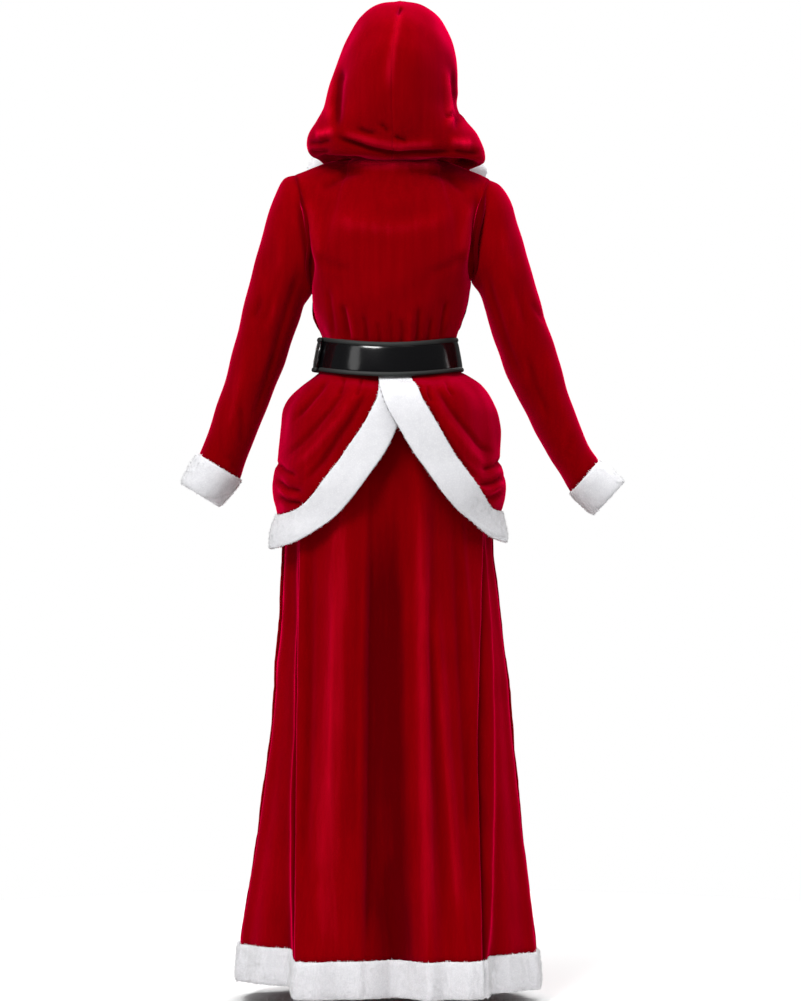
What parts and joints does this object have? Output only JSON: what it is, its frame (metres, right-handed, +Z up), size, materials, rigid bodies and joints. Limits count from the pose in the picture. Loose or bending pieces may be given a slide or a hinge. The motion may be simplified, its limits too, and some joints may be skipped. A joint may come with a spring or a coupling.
{
  "type": "christmas costume dress",
  "caption": "Full-length red velour costume dress with a standing hood, puffed peplum, white plush hem, cuffs and edgings, and a wide black belt, worn form without a wearer.",
  "frame": {"origin": "midway between the neck ends of the two shoulder seams", "axes": "+Z up, -Y towards the wearer's front, +X towards the wearer's left"},
  "size_m": [0.7773, 0.3652, 1.721],
  "materials": {
    "red_velour": "stretch velour with a soft sheen",
    "white_plush": "short dense plush",
    "black_gloss_pvc": "glossy coated strap",
    "black_binding_tape": "matt woven binding",
    "nickel": "polished nickel plate"
  },
  "bodies": {
    "root": {"belt_binding_bottom": "black_binding_tape", "belt_binding_top": "black_binding_tape", "belt_strap": "black_gloss_pvc", "bodice_back": "red_velour", "bodice_front": "red_velour", "buckle_frame": "nickel", "buckle_prong_lower": "nickel", "buckle_prong_upper": "nickel", "cuff_left": "white_plush", "cuff_right": "white_plush", "hem_band_back": "white_plush", "hem_band_front": "white_plush", "hood_left": "red_velour", "hood_right": "red_velour", "hood_trim": "white_plush", "peplum_left": "red_velour", "peplum_right": "red_velour", "peplum_trim_left": "white_plush", "peplum_trim_right": "white_plush", "skirt_back": "red_velour", "skirt_front": "red_velour", "sleeve_left": "red_velour", "sleeve_right": "red_velour"}
  },
  "joints": []
}
